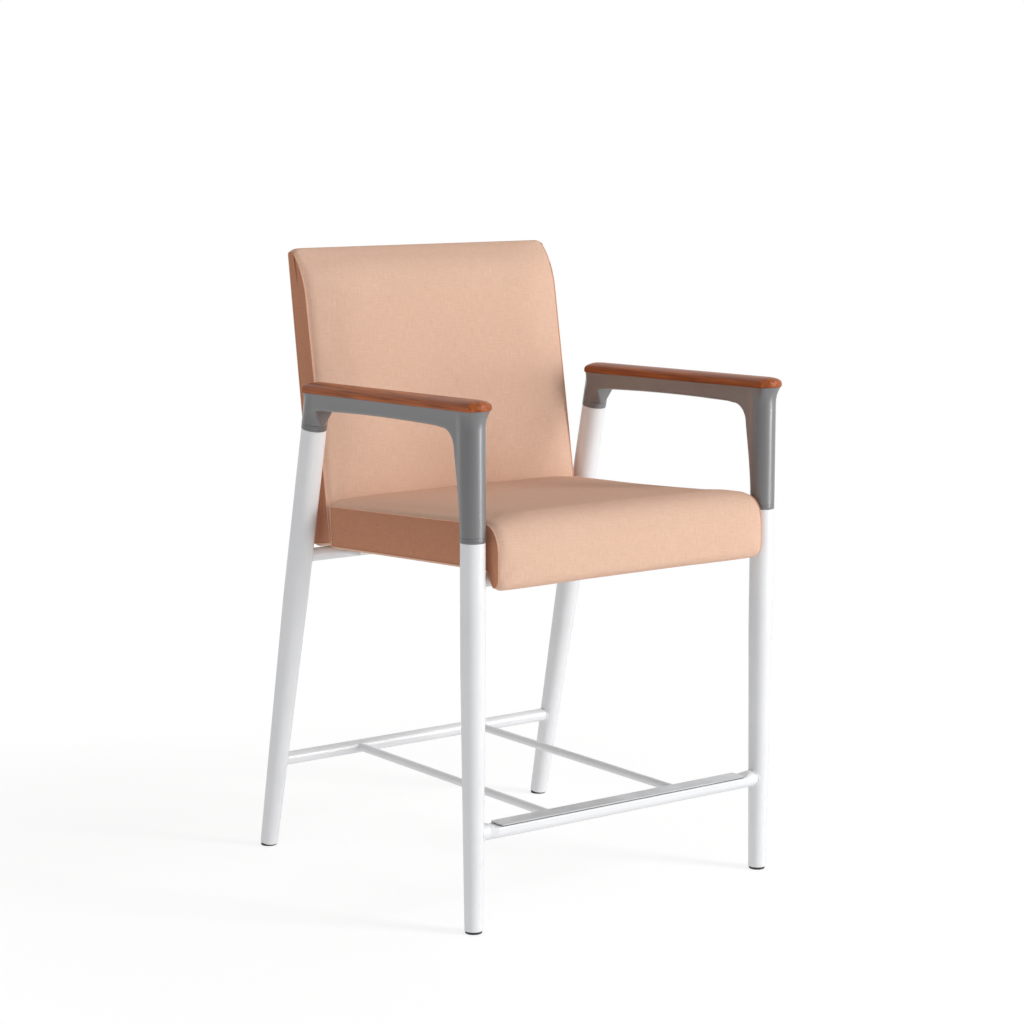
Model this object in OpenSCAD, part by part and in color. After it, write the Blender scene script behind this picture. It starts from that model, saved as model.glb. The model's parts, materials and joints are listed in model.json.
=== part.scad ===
// Hip-height patient chair with arms and a footrest bar, in millimetres.
// The front faces -Y and +Z is up. Left and right are as seen from the front,
// so left is -X. Every station along Y is measured from the axes of the front
// legs and moved to the shared origin at the end.

/* [Stance] */
// Gap between the seat's sides and the arms
arm_gap = 6; // [4:0.5:10]
// Distance along the floor from the front leg axes to the rear feet
leg_reach = 593; // [575:1:615]
// Lean of the rear legs from the vertical, in degrees
rear_rake = 12.4; // [11.5:0.1:13]
// Fall of the arms towards the rear, in degrees
arm_tilt = 1.2; // [0.6:0.1:1.8]

/* [Legs] */
// Diameter of a front leg above its taper
front_leg_d = 38; // [36:0.5:40]
// Diameter of a front leg at the foot
front_foot_d = 28; // [27:0.5:31]
// Height at which the front legs' taper starts
front_taper_h = 400; // [320:5:480]
// Height of the front legs' upper ends
front_leg_h = 594; // [580:1:620]
// Diameter of a rear leg above its taper
rear_leg_d = 40.5; // [38:0.5:42]
// Diameter of a rear leg at the foot
rear_foot_d = 29; // [28:0.5:32]
// Distance along a rear leg at which its taper starts
rear_taper_l = 445; // [380:5:500]
// Wall of the leg tubes
leg_wall = 2; // [1.5:0.1:2.5]

/* [Rails] */
// Diameter of the seat rails and the rear stretcher
rail_d = 22; // [20:0.5:24]
// Wall of the seat rails, the stretcher and the footrest bar
rail_wall = 1.8; // [1.4:0.1:2.2]
// Distance of the front seat rail's axis below the front legs' upper ends
front_rail_drop = 60; // [54:0.5:69]
// Distance of the front seat rail's axis behind the front leg axes
front_rail_set = 12; // [8:0.5:14]
// Gap between the rear seat rail and the plane of the seat's underside
rear_rail_gap = 0.9; // [0.5:0.1:3]
// Height of the axes of the footrest bar, the stretcher and its rods
stretcher_h = 153; // [130:1:180]
// Diameter of the two rods between the footrest bar and the stretcher
rod_d = 13; // [10:0.5:16]
// Distance between the two rods
rod_spacing = 250; // [200:5:300]

/* [Footrest] */
// Diameter of the footrest bar's round ends
footrest_d = 26; // [24:0.5:28]
// Width of the bar's pressed stretch
footrest_flat_w = 32; // [28:0.5:34]
// Depth by which the bar's top is pressed down
footrest_press = 5.5; // [3:0.5:7]
// Distance from the tread plate's ends to the leg axes
tread_set = 42.5; // [36:0.5:60]
// Width of the tread plate
tread_w = 30; // [24:0.5:32]
// Thickness of the tread plate
tread_t = 2; // [1.5:0.1:3]
// Thickness of the bonding tape under the tread plate
tape_t = 0.8; // [0.5:0.1:1.2]

/* [Arms] */
// Width of the arm castings' beam
beam_w = 37; // [32:0.5:38]
// Depth of the beam at its slenderest
beam_t = 23.5; // [21:0.5:27]
// Extra depth of the beam at its two ends
beam_arch = 4; // [2:0.5:6]
// Amount by which a casting's sleeve is wider than its leg
sleeve_step = 1; // [0.6:0.1:1.6]
// Length of a front sleeve, from its leg's end to the cap
front_sleeve_l = 194.5; // [180:0.5:210]
// Length of a rear sleeve along its leg's axis, from the leg's end to the cap
rear_sleeve_l = 60.3; // [56:0.1:70]
// Length of the spigots that enter the legs
spigot_l = 55; // [40:1:70]
// Width of the wooden arm caps
cap_w = 44.5; // [42:0.5:50]
// Thickness of the wooden arm caps
cap_t = 16.5; // [14:0.5:20]
// Reach of the arm caps in front of the front leg axes
cap_front = 27; // [22:0.5:32]

/* [Seat] */
// Width of the seat cushion
seat_w = 518; // [500:1:522]
// Thickness of the seat cushion at its side seams
seat_t = 75; // [68:1:84]
// Rise of the seat's top at its middle
seat_crown = 8; // [3:0.5:12]
// Reach of the seat's nose in front of the front leg axes
seat_nose = 34.5; // [32:0.5:40]
// Depth to which the nose hangs below the seat's underside
nose_drop = 26; // [16:1:30]
// Fall of the seat towards the rear, in degrees
seat_tilt = 3; // [2.4:0.1:3.4]
// Thickness of the upholstery fabric with its lining
cover_t = 1.6; // [1.2:0.1:2]
// Thickness of the plywood boards
board_t = 12; // [10:0.5:14]

/* [Back] */
// Setback of the back's sides from the seat's
back_side_set = 5.5; // [2:0.5:12]
// Height of the back cushion along its lean
back_h = 486; // [440:2:520]
// Thickness of the back cushion at its foot
back_t = 61.5; // [58:0.5:66]
// Thinning of the back cushion towards its top, in degrees
back_taper = 1.35; // [0.8:0.05:1.8]
// Lean of the back's rear face, in degrees
back_lean = 8.2; // [6:0.1:9]
// Forward swell of the back's front at its middle
back_crown = 10; // [4:0.5:14]

/* [Glides] */
// Diameter of the glide pads
pad_d = 26; // [24:0.5:27]
// Thickness of the front glide pads
pad_t = 4; // [3:0.1:6]
// Travel of the levelling glides
glide_travel = 10; // [6:0.5:12]

/* [Hidden] */

$fn = 48;

// Overrun of every cut past the face that it opens
over = 1;
// Gap between pieces that meet but may slide
fit = 0.1;
// Radial clearance of a shaft or screw in its bore
running = 0.06;
// Gap between a glide pad and the leg above it
pad_gap = 0.3;
// Left and right
left = -1;
right = 1;

// Legs
leg_spacing = seat_w + 2 * arm_gap + front_leg_d + sleeve_step;
leg_x = leg_spacing / 2;
// Height of the arm caps' underside at the front leg axes
arm_h = front_leg_h + front_sleeve_l;
// Station and height of the rear leg's axis where it meets the cap plane
rear_top_y = (leg_reach - arm_h * tan(rear_rake)) / (1 - tan(arm_tilt) * tan(rear_rake));
rear_top_z = arm_h - rear_top_y * tan(arm_tilt);
// Distance along a rear leg from the floor to its upper end
rear_leg_l = rear_top_z / cos(rear_rake) - rear_sleeve_l;
// Height of a rear leg's lower end above the floor along its axis
rear_end_l = pad_t + pad_gap + pad_d / 2 * tan(rear_rake) / 2;
front_end_l = pad_t + pad_gap;

function rear_axis_y(z) = leg_reach - z * tan(rear_rake);

// Rails
rail_r = rail_d / 2;
front_rail_h = front_leg_h - front_rail_drop;
// Height of the seat's underside over the front leg axes
seat_base_z = front_rail_h + rail_r / cos(seat_tilt) + front_rail_set * tan(seat_tilt);
// Height at which the rear rail, on the rear legs' axes, clears the seat's plane
rear_rail_h = (seat_base_z * cos(seat_tilt) - leg_reach * sin(seat_tilt) - rail_r - rear_rail_gap)
    / (cos(seat_tilt) - sin(seat_tilt) * tan(rear_rake));
rear_rail_y = rear_axis_y(rear_rail_h);
stretcher_y = rear_axis_y(stretcher_h);
footrest_r = footrest_d / 2;
flat_r = footrest_flat_w / 2;
// Height of the pressed flat above the bar's axis
flat_rise = footrest_r - footrest_press;
tread_l = leg_spacing - 2 * tread_set;
// Bare bar between the tread plate's ends and the scoops
flat_margin = 6;
// Length of a scoop, where the round bar becomes flat
scoop_l = 14;
flat_l = tread_l + 2 * flat_margin;
// Thickness of the slices that a scoop is stretched between
slice = 0.5;
tread_corner_r = 2.5;
// Radius of the pressed stretch's upper edges
flat_edge_r = 4;

// Arms
front_sleeve_r = (front_leg_d + sleeve_step) / 2;
rear_sleeve_r = (rear_leg_d + sleeve_step) / 2;
front_spigot_r = front_leg_d / 2 - leg_wall - fit;
rear_spigot_r = rear_leg_d / 2 - leg_wall - fit;
// Overhang of a cap past the casting under it
cap_step = 1;
// Depth of the lip that carries the cap
lip_t = 4;
// Bow of a cap's ends
cap_bow = 9;
// Where the rear leg's axis meets the cap plane, measured along the arm
rear_top_v = rear_top_y / cos(arm_tilt);
cap_rear = rear_top_v + rear_sleeve_r / cos(rear_rake + arm_tilt);
cap_l = cap_front + cap_rear;
// Lean of the rear leg's axis seen square to the arm
arm_rake = rear_rake - arm_tilt;
// Fillets of the arch under the beam
front_fillet = 30;
rear_fillet = 13;
// Space that the web fills behind the front sleeve at the arch
web_reach = 5.5;
// Bare stretch of each sleeve below its web
front_web_end = 17;
rear_web_end = 2;
// Lengths over which the webs run out down the sleeves
web_run = front_sleeve_l - beam_t - beam_arch - front_web_end;
rear_web_run = rear_sleeve_l * cos(arm_rake) - beam_t - beam_arch - rear_web_end;
// Cap as rings from its underside to its crest: inset from the outline as a
// share of half the cap's width, and height as a share of its thickness
cap_ring_shares = [
    [0.06, 0], [0.012, 0.1], [0, 0.28], [0.025, 0.48], [0.1, 0.66],
    [0.24, 0.81], [0.45, 0.92], [0.7, 0.98], [0.92, 1]
];
cap_screw_shares = [0.12, 0.5, 0.88];
cap_screw_r = 2;
cap_screw_head_r = 4;
cap_screw_head_t = 2.4;
// Depth to which the cap screws enter the wood
cap_screw_bite = 10;
// Depth of the head's counterbore in the beam
cap_screw_sink = 9;
lock_screw_r = 3;
lock_screw_head_r = 5.2;
lock_screw_head_t = 2.6;
lock_screw_l = 16;
// Distance of the lock screws below the sleeves
lock_screw_drop = 25;

// Seat
seat_half_w = seat_w / 2;
dust_t = 0.8;
// Front rail's axis in the seat's own plane
seat_rail_v = front_rail_set * cos(seat_tilt) - (front_rail_h - seat_base_z) * sin(seat_tilt);
// Back's rear face behind the rear rail's axis, at the back's foot
back_set = 13.3;
back_gap = 0.8;
back_base_y = rear_rail_y + back_set;
back_base_z = rear_rail_h + (rail_r + back_gap) / cos(back_lean) - back_set * tan(back_lean);
// Play between the seat's rear end and the back
seat_back_gap = 1.5;
// Rear end of the seat, in the seat's own plane
seat_end = (back_base_y - back_t * cos(back_lean) - seat_back_gap) / cos(seat_tilt);
seat_corner_r = 7;
// Rise of the nose above the seat's top seam
nose_rise = 3;
nose_r = 31;
nose_lip_r = 14;
// Angles between which the nose and its lip are round, in degrees from the rear
nose_from = 72;
nose_to = 180;
lip_from = 186;
lip_to = 300;
// Setback of the nose's lip from its foremost point
nose_tuck = 2.5;
// Where the nose's rear side meets the underside
nose_root = 6;
// Places along the seat's top and underside as shares of its length
seat_top_shares = [0.8, 0.6, 0.4, 0.24];
seat_under_shares = [0.3, 0.6];
// Steepness with which the top rises to the nose
nose_power = 4;
// Inward pull of the sides between their corners
side_draw = 3;
// Swell of the front face as a share of the crown
front_swell_share = 0.35;
// Steepness with which a crown rises from its seams
crown_power = 5;
// Stations across half a cushion as shares of its half width
station_shares = [0, 0.3, 0.58, 0.8, 0.93, 1];
// Front edge of the board in the seat's own plane
board_front = -8;
// Margins between the boards and the covers
board_margin = 10;
board_side = 10;
board_corner_r = 12;
// Width of fabric turned in under the sides of the board
turn_in = 32;
// Front edge of the opening in the fabric under the seat
window_front = 32;
// Overlap of the dust cover on the turned fabric
dust_lap = 12;
// Gap between the dust cover and the brackets
dust_gap = 2;

// Seat fixings
seat_bolt_x = 185;
seat_bolt_r = 4;
seat_bolt_head_r = 7.5;
seat_bolt_head_t = 5.3;
seat_bolt_hole_gap = 0.25;
tee_barrel_r = 5;
tee_flange_r = 9.5;
tee_flange_t = 1.4;
bracket_t = 4;
bracket_w = 40;
// Length of a bracket's plate under the seat
bracket_plate_l = 44;
// Distance of a bracket's rear bolt from the seat's end
bracket_bolt_set = 26;
// Setback of a bracket's drop from the seat's rear end
bracket_clear = 3.5;
seat_bracket_v = seat_end - bracket_bolt_set;
window_end = seat_end - bracket_clear - bracket_plate_l - dust_gap - dust_lap;

// Back
back_w = seat_w - 2 * back_side_set;
back_half_w = back_w / 2;
back_corner_r = 9;
back_top_r = 10;
back_front_r = 8;
// Radius of the seam edge between the rolled front and the top
back_edge_r = 8;
back_roll_r = 135;
// Angle through which the front face rolls
back_roll_turn = 37;
// Angle of the back's front face, in degrees from its rear
back_front_angle = 180;
// Places up the back's rear and front faces as shares of their heights
back_rear_shares = [0.35, 0.7];
back_front_shares = [0.72, 0.5, 0.34, 0.2, 0.1];
// Distance from the back's foot or top at which its crown is full
crown_rise_h = 170;
upright_w = 30;
upright_t = 5;
upright_x = 145;
upright_l = 340;
// Rear rail's axis in the back's own frame, where the uprights end
upright_foot = -rail_r - back_gap;
// Slack of the cover's slots and the foam's grooves round the uprights
upright_slack = 1;
back_bolt_r = 3;
back_bolt_head_r = 6;
back_bolt_head_t = 3.3;
back_bolt_hole_gap = 0.2;
back_tee_barrel_r = 3.9;
back_tee_flange_r = 8;
back_bolt_shares = [0.35, 0.9];
board_top_drop = 38;

// Glides
insert_l = 20;
stem_r = 4;
// Play between a leg's bore at the foot and its insert
insert_play = 0.15;
// Length of a glide's stem above its pad
stem_l = insert_l + glide_travel;
// Depth to which a stem is moulded into its pad
stem_seat = 2;
pad_chamfer = 0.8;

// Whole chair, for the shared origin
chair_front = let (points = seat_side(), swells = seat_swells(points))
    max([for (i = [0 : len(points) - 1]) let (p = points[i] + outward(points, i) * swells[i])
        -p[0] * cos(seat_tilt) - p[1] * sin(seat_tilt)]);
chair_rear = leg_reach + pad_d / 2 / cos(rear_rake);
centre_y = (chair_rear - chair_front) / 2;

// Colours
paint_white = [0.93, 0.93, 0.92];
cast_grey = [0.5, 0.5, 0.51];
cherry = [0.68, 0.33, 0.16];
peach = [0.86, 0.66, 0.55];
steel = [0.72, 0.73, 0.74];
black = [0.1, 0.1, 0.1];
foam_yellow = [0.93, 0.88, 0.7];
plywood = [0.8, 0.66, 0.46];
nylon_grey = [0.2, 0.2, 0.21];

function arc(centre, radius, start, end, steps) = [
    for (i = [0 : steps])
        let (a = start + (end - start) * i / steps)
            centre + radius * [cos(a), sin(a)]
];

function rounded_rect(length, width, radius, steps = 6) = concat(
    arc([length / 2 - radius, width / 2 - radius], radius, 0, 90, steps),
    arc([radius - length / 2, width / 2 - radius], radius, 90, 180, steps),
    arc([radius - length / 2, radius - width / 2], radius, 180, 270, steps),
    arc([length / 2 - radius, radius - width / 2], radius, 270, 360, steps)
);

// Placing

module stationed() translate([0, -centre_y, 0]) children();

module at_front_leg(side) stationed() translate([side * leg_x, 0, 0]) children();

module at_rear_leg(side)
    stationed() translate([side * leg_x, leg_reach, 0]) rotate([rear_rake, 0, 0]) children();

// Origin in the cap plane over a front leg, +Y along the arm to the rear
module at_arm(side)
    stationed() translate([side * leg_x, 0, arm_h]) rotate([-arm_tilt, 0, 0]) children();

module at_seat() stationed() translate([0, 0, seat_base_z]) rotate([-seat_tilt, 0, 0]) children();

module at_back()
    stationed() translate([0, back_base_y, back_base_z]) rotate([-back_lean, 0, 0]) children();

// A side view in the YZ plane, given as [y, z], made solid across X
module across(width)
    rotate([90, 0, 90]) linear_extrude(height = width, center = true) children();

// Legs

module leg_solid(foot_d, top_d, taper, start, end, inset = 0) {
    slope = (top_d - foot_d) / taper;
    rotate_extrude() polygon([
        [0, start], [foot_d / 2 + slope * start / 2 - inset, start],
        [top_d / 2 - inset, taper], [top_d / 2 - inset, end], [0, end]
    ]);
}

module front_leg_solid(inset = 0, reach = 0)
    leg_solid(front_foot_d, front_leg_d, front_taper_h, front_end_l - reach, front_leg_h + reach,
        inset);

module rear_leg_solid(inset = 0, reach = 0)
    leg_solid(rear_foot_d, rear_leg_d, rear_taper_l, rear_end_l - reach, rear_leg_l + reach, inset);

// Hole through a leg's rear wall for the screw that locks the arm's spigot
module lock_hole(height, radius, depth)
    translate([0, 0, height - lock_screw_drop]) rotate([-90, 0, 0]) cylinder(r = radius, h = depth);

module front_leg(side) color(paint_white) at_front_leg(side) difference() {
    front_leg_solid();
    front_leg_solid(leg_wall, over);
    lock_hole(front_leg_h, lock_screw_r + running, front_leg_d);
}

module rear_leg(side) color(paint_white) at_rear_leg(side) difference() {
    rear_leg_solid();
    rear_leg_solid(leg_wall, over);
    lock_hole(rear_leg_l, lock_screw_r + running, rear_leg_d);
}

// Both legs of one end as solids, for the copes of the tubes between them
module front_leg_pair() for (side = [left, right]) at_front_leg(side) front_leg_solid();

module rear_leg_pair() for (side = [left, right]) at_rear_leg(side) rear_leg_solid();

// Rails

module bar_across(y, z, radius, length)
    stationed() translate([0, y, z]) rotate([0, 90, 0])
        cylinder(r = radius, h = length, center = true);

module tube_across(y, z, radius, wall, length) difference() {
    bar_across(y, z, radius, length);
    bar_across(y, z, radius - wall, length + over);
}

module front_seat_rail() color(paint_white) difference() {
    tube_across(front_rail_set, front_rail_h, rail_r, rail_wall, leg_spacing);
    front_leg_pair();
    at_seat() seat_bolt_places(rear = false) translate([0, 0, -2 * rail_d])
        cylinder(r = seat_bolt_r + seat_bolt_hole_gap, h = 3 * rail_d);
}

module rear_seat_rail() color(paint_white) difference() {
    tube_across(rear_rail_y, rear_rail_h, rail_r, rail_wall, leg_spacing);
    rear_leg_pair();
}

module rear_stretcher() color(paint_white) difference() {
    tube_across(stretcher_y, stretcher_h, rail_r, rail_wall, leg_spacing);
    rear_leg_pair();
}

module stretcher_rod(side) color(paint_white) difference() {
    stationed() translate([side * rod_spacing / 2, 0, stretcher_h]) rotate([-90, 0, 0])
        cylinder(d = rod_d, h = stretcher_y);
    bar_across(stretcher_y, stretcher_h, rail_r, leg_spacing);
    footrest_solid();
}

// Pieces of sheet that carry the seat's rear end from the rear rail
module seat_brackets() {
    // The rear rail's axis seen in the seat's plane
    rail_v = rear_rail_y * cos(seat_tilt) - (rear_rail_h - seat_base_z) * sin(seat_tilt);
    rail_w = rear_rail_y * sin(seat_tilt) + (rear_rail_h - seat_base_z) * cos(seat_tilt);
    drop_v = seat_end - bracket_clear;
    foot_w = rail_w - bracket_t / 2;
    color(paint_white) difference() {
        at_seat() for (side = [left, right]) translate([side * seat_bolt_x, 0, 0]) difference() {
            across(bracket_w) polygon([
                [drop_v - bracket_plate_l, 0], [drop_v, 0],
                [drop_v, foot_w + bracket_t], [rail_v, foot_w + bracket_t], [rail_v, foot_w],
                [drop_v - bracket_t, foot_w], [drop_v - bracket_t, -bracket_t],
                [drop_v - bracket_plate_l, -bracket_t]
            ]);
            translate([0, seat_bracket_v, -2 * bracket_t])
                cylinder(r = seat_bolt_r + seat_bolt_hole_gap, h = 3 * bracket_t);
        }
        bar_across(rear_rail_y, rear_rail_h, rail_r, leg_spacing);
    }
}

// Footrest

// Section of the pressed stretch: a flat top with soft edges over a round belly
function flat_section(inset = 0) = concat(
    arc([flat_r - flat_edge_r, flat_rise - flat_edge_r], flat_edge_r - inset, 20, 90, 4),
    arc([flat_edge_r - flat_r, flat_rise - flat_edge_r], flat_edge_r - inset, 90, 160, 4),
    [for (a = [190 : 10 : 350]) [(flat_r - inset) * cos(a), (footrest_r - inset) * sin(a)]]
);

module footrest_solid() stationed() translate([0, 0, stretcher_h]) {
    rotate([0, 90, 0]) cylinder(r = footrest_r, h = leg_spacing, center = true);
    across(flat_l) polygon(flat_section());
}

// The bar's form, drawn in by an inset, with ends that run past the leg axes by reach
module footrest_form(inset = 0, reach = 0) stationed() translate([0, 0, stretcher_h]) {
    across(flat_l) polygon(flat_section(inset));
    for (side = [left, right]) {
        hull() {
            translate([side * (flat_l - slice) / 2, 0, 0]) across(slice)
                polygon(flat_section(inset));
            translate([side * (flat_l / 2 + scoop_l), 0, 0]) rotate([0, 90, 0])
                cylinder(r = footrest_r - inset, h = slice, center = true, $fn = 32);
        }
        translate([side * (flat_l / 2 + scoop_l), 0, 0]) rotate([0, side * 90, 0])
            cylinder(r = footrest_r - inset, h = leg_x + reach - flat_l / 2 - scoop_l);
    }
}

module footrest_bar() color(paint_white) difference() {
    footrest_form();
    footrest_form(rail_wall, over);
    front_leg_pair();
}

module tread_sheet(base, thickness)
    stationed() translate([0, 0, stretcher_h + flat_rise + base]) linear_extrude(height = thickness)
        polygon(rounded_rect(tread_l, tread_w, tread_corner_r));

module footrest_tape() color(black) tread_sheet(0, tape_t);

module footrest_tread() color(steel) tread_sheet(tape_t, tread_t);

// Arms

// Outline of a cap in the arm's plane, drawn in by an inset
function cap_outline(inset, steps = 6) = let (half = cap_w / 2 - inset) concat(
    [for (i = [0 : steps]) let (t = 2 * i / steps - 1)
        [half * t, inset - cap_front + cap_bow * t * t]],
    [for (i = [0 : steps]) let (t = 1 - 2 * i / steps)
        [half * t, cap_rear - inset - cap_bow * t * t]]
);

// Upper edge of the arch under the beam, from the front to the rear
function arch_points() = let (
    front_v = front_sleeve_r + web_reach,
    rear_v = rear_top_v + (beam_t + beam_arch) * tan(arm_rake) - rear_sleeve_r / cos(arm_rake),
    middle = (front_v + rear_v) / 2,
    half = (rear_v - front_v) / 2,
    low = -beam_t - beam_arch,
    from = front_v + front_fillet,
    to = rear_v - rear_fillet,
    steps = 12
) concat(
    [[front_sleeve_r / 2, low - web_run]],
    arc([from, low - front_fillet], front_fillet, 180, 90, 8),
    [for (i = [1 : steps - 1]) let (v = from + (to - from) * i / steps, t = (v - middle) / half)
        [v, low + beam_arch * (1 - t * t)]],
    arc([to, low - rear_fillet], rear_fillet, 90, 10, 6),
    [[rear_top_v + (beam_t + beam_arch + rear_web_run) * tan(arm_rake), low - rear_web_run]]
);

// Side view of the beam and its two webs, between the axes of the legs
function beam_side() = concat([[rear_top_v, 0], [0, 0], [0, -beam_t - beam_arch - web_run]],
    arch_points());

module cap_screw_places()
    for (share = cap_screw_shares) translate([0, share * rear_top_v, 0]) children();

module arm_casting(side) color(cast_grey) difference() {
    union() {
        difference() {
            union() {
                at_front_leg(side) translate([0, 0, front_leg_h])
                    cylinder(r = front_sleeve_r, h = arm_h - front_leg_h + cap_t);
                at_rear_leg(side) translate([0, 0, rear_leg_l])
                    cylinder(r = rear_sleeve_r, h = arm_h / cos(rear_rake) - rear_leg_l);
                at_arm(side) across(beam_w) polygon(beam_side());
                at_arm(side) translate([0, 0, -lip_t]) linear_extrude(height = lip_t)
                    polygon(cap_outline(cap_step));
            }
            at_arm(side) translate([-cap_w, -2 * cap_front, 0])
                cube([2 * cap_w, cap_l + 4 * cap_front, arm_h]);
        }
        at_front_leg(side) translate([0, 0, front_leg_h - spigot_l])
            cylinder(r = front_spigot_r, h = spigot_l);
        at_rear_leg(side) translate([0, 0, rear_leg_l - spigot_l])
            cylinder(r = rear_spigot_r, h = spigot_l);
    }
    at_arm(side) cap_screw_places() {
        translate([0, 0, -arm_h / 2]) cylinder(r = cap_screw_r + running, h = arm_h);
        translate([0, 0, -arm_h / 2]) cylinder(r = cap_screw_head_r + running,
            h = arm_h / 2 - beam_t - beam_arch + cap_screw_sink);
    }
    at_front_leg(side) lock_hole(front_leg_h, lock_screw_r + running, front_leg_d);
    at_rear_leg(side) lock_hole(rear_leg_l, lock_screw_r + running, rear_leg_d);
}

// Wooden cap as stacked outlines under a crowned top
module cap_solid() {
    rings = [for (ring = cap_ring_shares)
        [for (p = cap_outline(ring[0] * cap_w / 2)) [p[0], p[1], ring[1] * cap_t]]];
    n = len(rings[0]);
    last = len(rings) - 1;
    polyhedron(
        points = [for (ring = rings) each ring],
        faces = concat(
            [[for (i = [0 : n - 1]) i]],
            [[for (i = [n - 1 : -1 : 0]) last * n + i]],
            [for (k = [0 : last - 1], i = [0 : n - 1]) let (j = (i + 1) % n)
                each [[k * n + i, (k + 1) * n + i, (k + 1) * n + j],
                    [k * n + i, (k + 1) * n + j, k * n + j]]]
        )
    );
}

module arm_cap(side) color(cherry) at_arm(side) difference() {
    cap_solid();
    cap_screw_places() translate([0, 0, -over])
        cylinder(r = cap_screw_r + running, h = cap_screw_bite + over);
}

module arm_cap_screws() color(steel) for (side = [left, right]) at_arm(side) cap_screw_places() {
    sunk_w = cap_screw_sink - beam_t - beam_arch;
    translate([0, 0, sunk_w]) cylinder(r = cap_screw_r, h = cap_screw_bite - over - sunk_w);
    translate([0, 0, sunk_w - cap_screw_head_t])
        cylinder(r = cap_screw_head_r, h = cap_screw_head_t);
}

// Button-headed screw that enters a leg from behind, its head on the wall
module lock_screw(height, wall_r)
    translate([0, 0, height - lock_screw_drop]) rotate([-90, 0, 0]) {
        translate([0, 0, wall_r - lock_screw_l]) cylinder(r = lock_screw_r, h = lock_screw_l);
        intersection() {
            translate([0, 0, wall_r]) cylinder(r = lock_screw_head_r, h = lock_screw_head_t);
            translate([0, 0, wall_r + lock_screw_head_t - 2 * lock_screw_head_r])
                sphere(r = 2 * lock_screw_head_r);
        }
    }

module arm_lock_screws() color(steel) for (side = [left, right]) {
    at_front_leg(side) lock_screw(front_leg_h, front_leg_d / 2);
    at_rear_leg(side) lock_screw(rear_leg_l, rear_leg_d / 2);
}

// Cushions

// Outward unit normal at a point of a closed outline that runs anticlockwise
function outward(points, i) = let (
    n = len(points),
    along = points[(i + 1) % n] - points[(i + n - 1) % n]
) [along[1], -along[0]] / norm(along);

// Closed cushion: a side view carried across its width, swollen at its middle by
// swells[i] and drawn in at its sides by draws[i], with every face set in by inset
module cushion(points, swells, draws, half_w, hub, inset = 0) {
    n = len(points);
    ts = concat(
        [for (i = [len(station_shares) - 1 : -1 : 1]) -station_shares[i]],
        station_shares
    );
    last = len(ts) - 1;
    rings = [for (t = ts) let (rise = 1 - pow(abs(t), crown_power))
        [for (i = [0 : n - 1]) let (p = points[i] + outward(points, i) * (swells[i] * rise - inset))
            [t * (half_w - inset - draws[i]), p[0], p[1]]]];
    ends = [for (s = [left, right]) [s * (half_w - inset), hub[0], hub[1]]];
    polyhedron(
        points = concat([for (ring = rings) each ring], ends),
        faces = concat(
            [for (k = [0 : last - 1], i = [0 : n - 1]) let (j = (i + 1) % n)
                each [[k * n + i, (k + 1) * n + i, (k + 1) * n + j],
                    [k * n + i, (k + 1) * n + j, k * n + j]]],
            [for (i = [0 : n - 1]) [i, (i + 1) % n, (last + 1) * n]],
            [for (i = [0 : n - 1]) [last * n + (i + 1) % n, last * n + i, (last + 1) * n + 1]]
        )
    );
}

// How far along a cushion a place is, from its middle, as a share of half its length
function off_middle(v, low, high) = (2 * v - low - high) / (high - low);

// Seat

// Side view of the seat in its own plane: [depth, height over the underside]
function seat_side() = let (
    top = seat_t + nose_rise,
    lip_v = nose_tuck + nose_lip_r - seat_nose
) concat(
    arc([seat_end - seat_corner_r, seat_corner_r], seat_corner_r, -90, 0, 3),
    arc([seat_end - seat_corner_r, seat_t - seat_corner_r], seat_corner_r, 0, 90, 4),
    [for (share = seat_top_shares)
        [share * seat_end, seat_t + nose_rise * pow(1 - share, nose_power)]],
    arc([nose_r - seat_nose, top - nose_r], nose_r, nose_from, nose_to, 7),
    arc([lip_v, nose_lip_r - nose_drop], nose_lip_r, lip_from, lip_to, 5),
    [[nose_root / 4, -nose_root / 2], [nose_root, 0]],
    [for (share = seat_under_shares) [share * seat_end, 0]]
);

function seat_swells(points) = [for (i = [0 : len(points) - 1]) let (n = outward(points, i))
    seat_crown * max(0, n[1], -n[0] * front_swell_share)];

function seat_draws(points) = [for (p = points)
    let (t = off_middle(p[0], -seat_nose, seat_end)) side_draw * (1 - t * t)];

module seat_form(inset = 0) let (points = seat_side())
    cushion(points, seat_swells(points), seat_draws(points), seat_half_w,
        [nose_root - seat_corner_r, seat_t / 2], inset);

// The board's outline as a sheet from one height over the underside to another
module seat_board_sheet(low, high) let (
    end = seat_end - cover_t - board_margin,
    width = seat_w - 2 * (cover_t + board_side)
) translate([0, (board_front + end) / 2, low]) linear_extrude(height = high - low)
    polygon(rounded_rect(width, end - board_front, board_corner_r));

// Opening in the fabric under the seat, or the sheet that covers it
module under_sheet(low, high, lap = 0) let (
    width = seat_w - 2 * (cover_t + board_side + turn_in - lap),
    length = window_end - window_front + 2 * lap
) translate([0, (window_front + window_end) / 2, low]) linear_extrude(height = high - low)
    polygon(rounded_rect(width, length, board_corner_r));

module seat_bolt_places(front = true, rear = true) for (side = [left, right]) {
    if (front) translate([side * seat_bolt_x, seat_rail_v, 0]) children();
    if (rear) translate([side * seat_bolt_x, seat_bracket_v, 0]) children();
}

// Flanged nut in a board of that depth, its flange flush with the far face
module tee_nut(depth, barrel_r, flange_r, bore_r) difference() {
    union() {
        cylinder(r = barrel_r, h = depth);
        translate([0, 0, depth - tee_flange_t]) cylinder(r = flange_r, h = tee_flange_t);
    }
    translate([0, 0, -over]) cylinder(r = bore_r + running, h = depth + 2 * over);
}

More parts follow.
